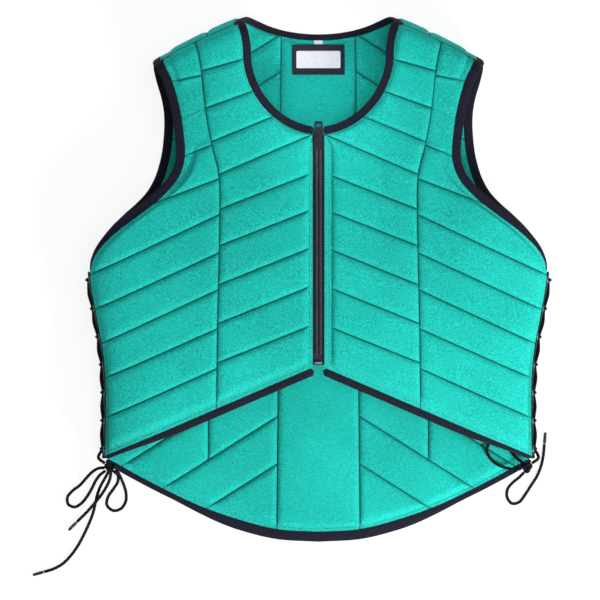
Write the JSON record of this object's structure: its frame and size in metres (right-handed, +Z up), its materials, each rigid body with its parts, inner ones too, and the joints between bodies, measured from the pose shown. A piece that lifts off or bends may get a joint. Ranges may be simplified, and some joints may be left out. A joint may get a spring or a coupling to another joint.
{
  "type": "equestrian body protector",
  "caption": "Padded zip-front riding vest laced at both sides, with a dropped tail and bound edges, lying on its back.",
  "frame": {"origin": "middle of the vest's footprint on the floor, laces left out", "axes": "+Y towards the neck, +X across the front to the picture's right, +Z up out of the front panel"},
  "size_m": [0.585, 0.6303, 0.07],
  "materials": {
    "shell_fabric": "matte brushed knit over foam",
    "binding": "matte woven binding tape",
    "zip_tape": "matte woven tape",
    "zip_teeth": "moulded, low gloss",
    "zip_metal": "enamelled, satin",
    "silver": "bright",
    "lace": "braided round cord",
    "lace_tip": "glossy sheath",
    "label_cloth": "smooth satin weave, bare"
  },
  "bodies": {
    "vest": {"front_centre_right": "shell_fabric", "front_centre_left": "shell_fabric", "front_side_right": "shell_fabric", "front_side_left": "shell_fabric", "back_side_right": "shell_fabric", "back_side_left": "shell_fabric", "back_spine": "shell_fabric", "neck_binding": "binding", "arm_binding_right": "binding", "arm_binding_left": "binding", "front_hem_binding_right": "binding", "front_hem_binding_left": "binding", "back_hem_binding": "binding", "front_lacing_strip_right": "binding", "front_lacing_strip_left": "binding", "back_lacing_strip_right": "binding", "back_lacing_strip_left": "binding", "side_lace_right": "lace", "side_lace_left": "lace", "zip_tape_right": "zip_tape", "zip_tape_left": "zip_tape", "zip_teeth_right": "zip_teeth", "zip_teeth_left": "zip_teeth", "zip_slider": "zip_metal", "zip_bottom_stop": "silver", "label_backing": "binding", "label_patch": "label_cloth", "size_tab": "label_cloth", "bow_loop_left_outer": "lace", "bow_loop_left_inner": "lace", "lace_end_left_long": "lace", "lace_tip_left_long": "lace_tip", "lace_end_left_short": "lace", "lace_tip_left_short": "lace_tip", "bow_loop_right": "lace", "lace_end_right": "lace", "lace_tip_right": "lace_tip", "lace_knot_right": "lace", "lace_knot_left": "lace"},
    "zip_pull": {"zip_pull_tab": "zip_metal"}
  },
  "joints": [
    {"name": "zip_pull_swing", "type": "hinge", "parent": "vest", "child": "zip_pull", "pos_m": [0, 0.15691, 0.06648], "axis": [1, 0, 0], "range_deg": [0, 170]}
  ]
}
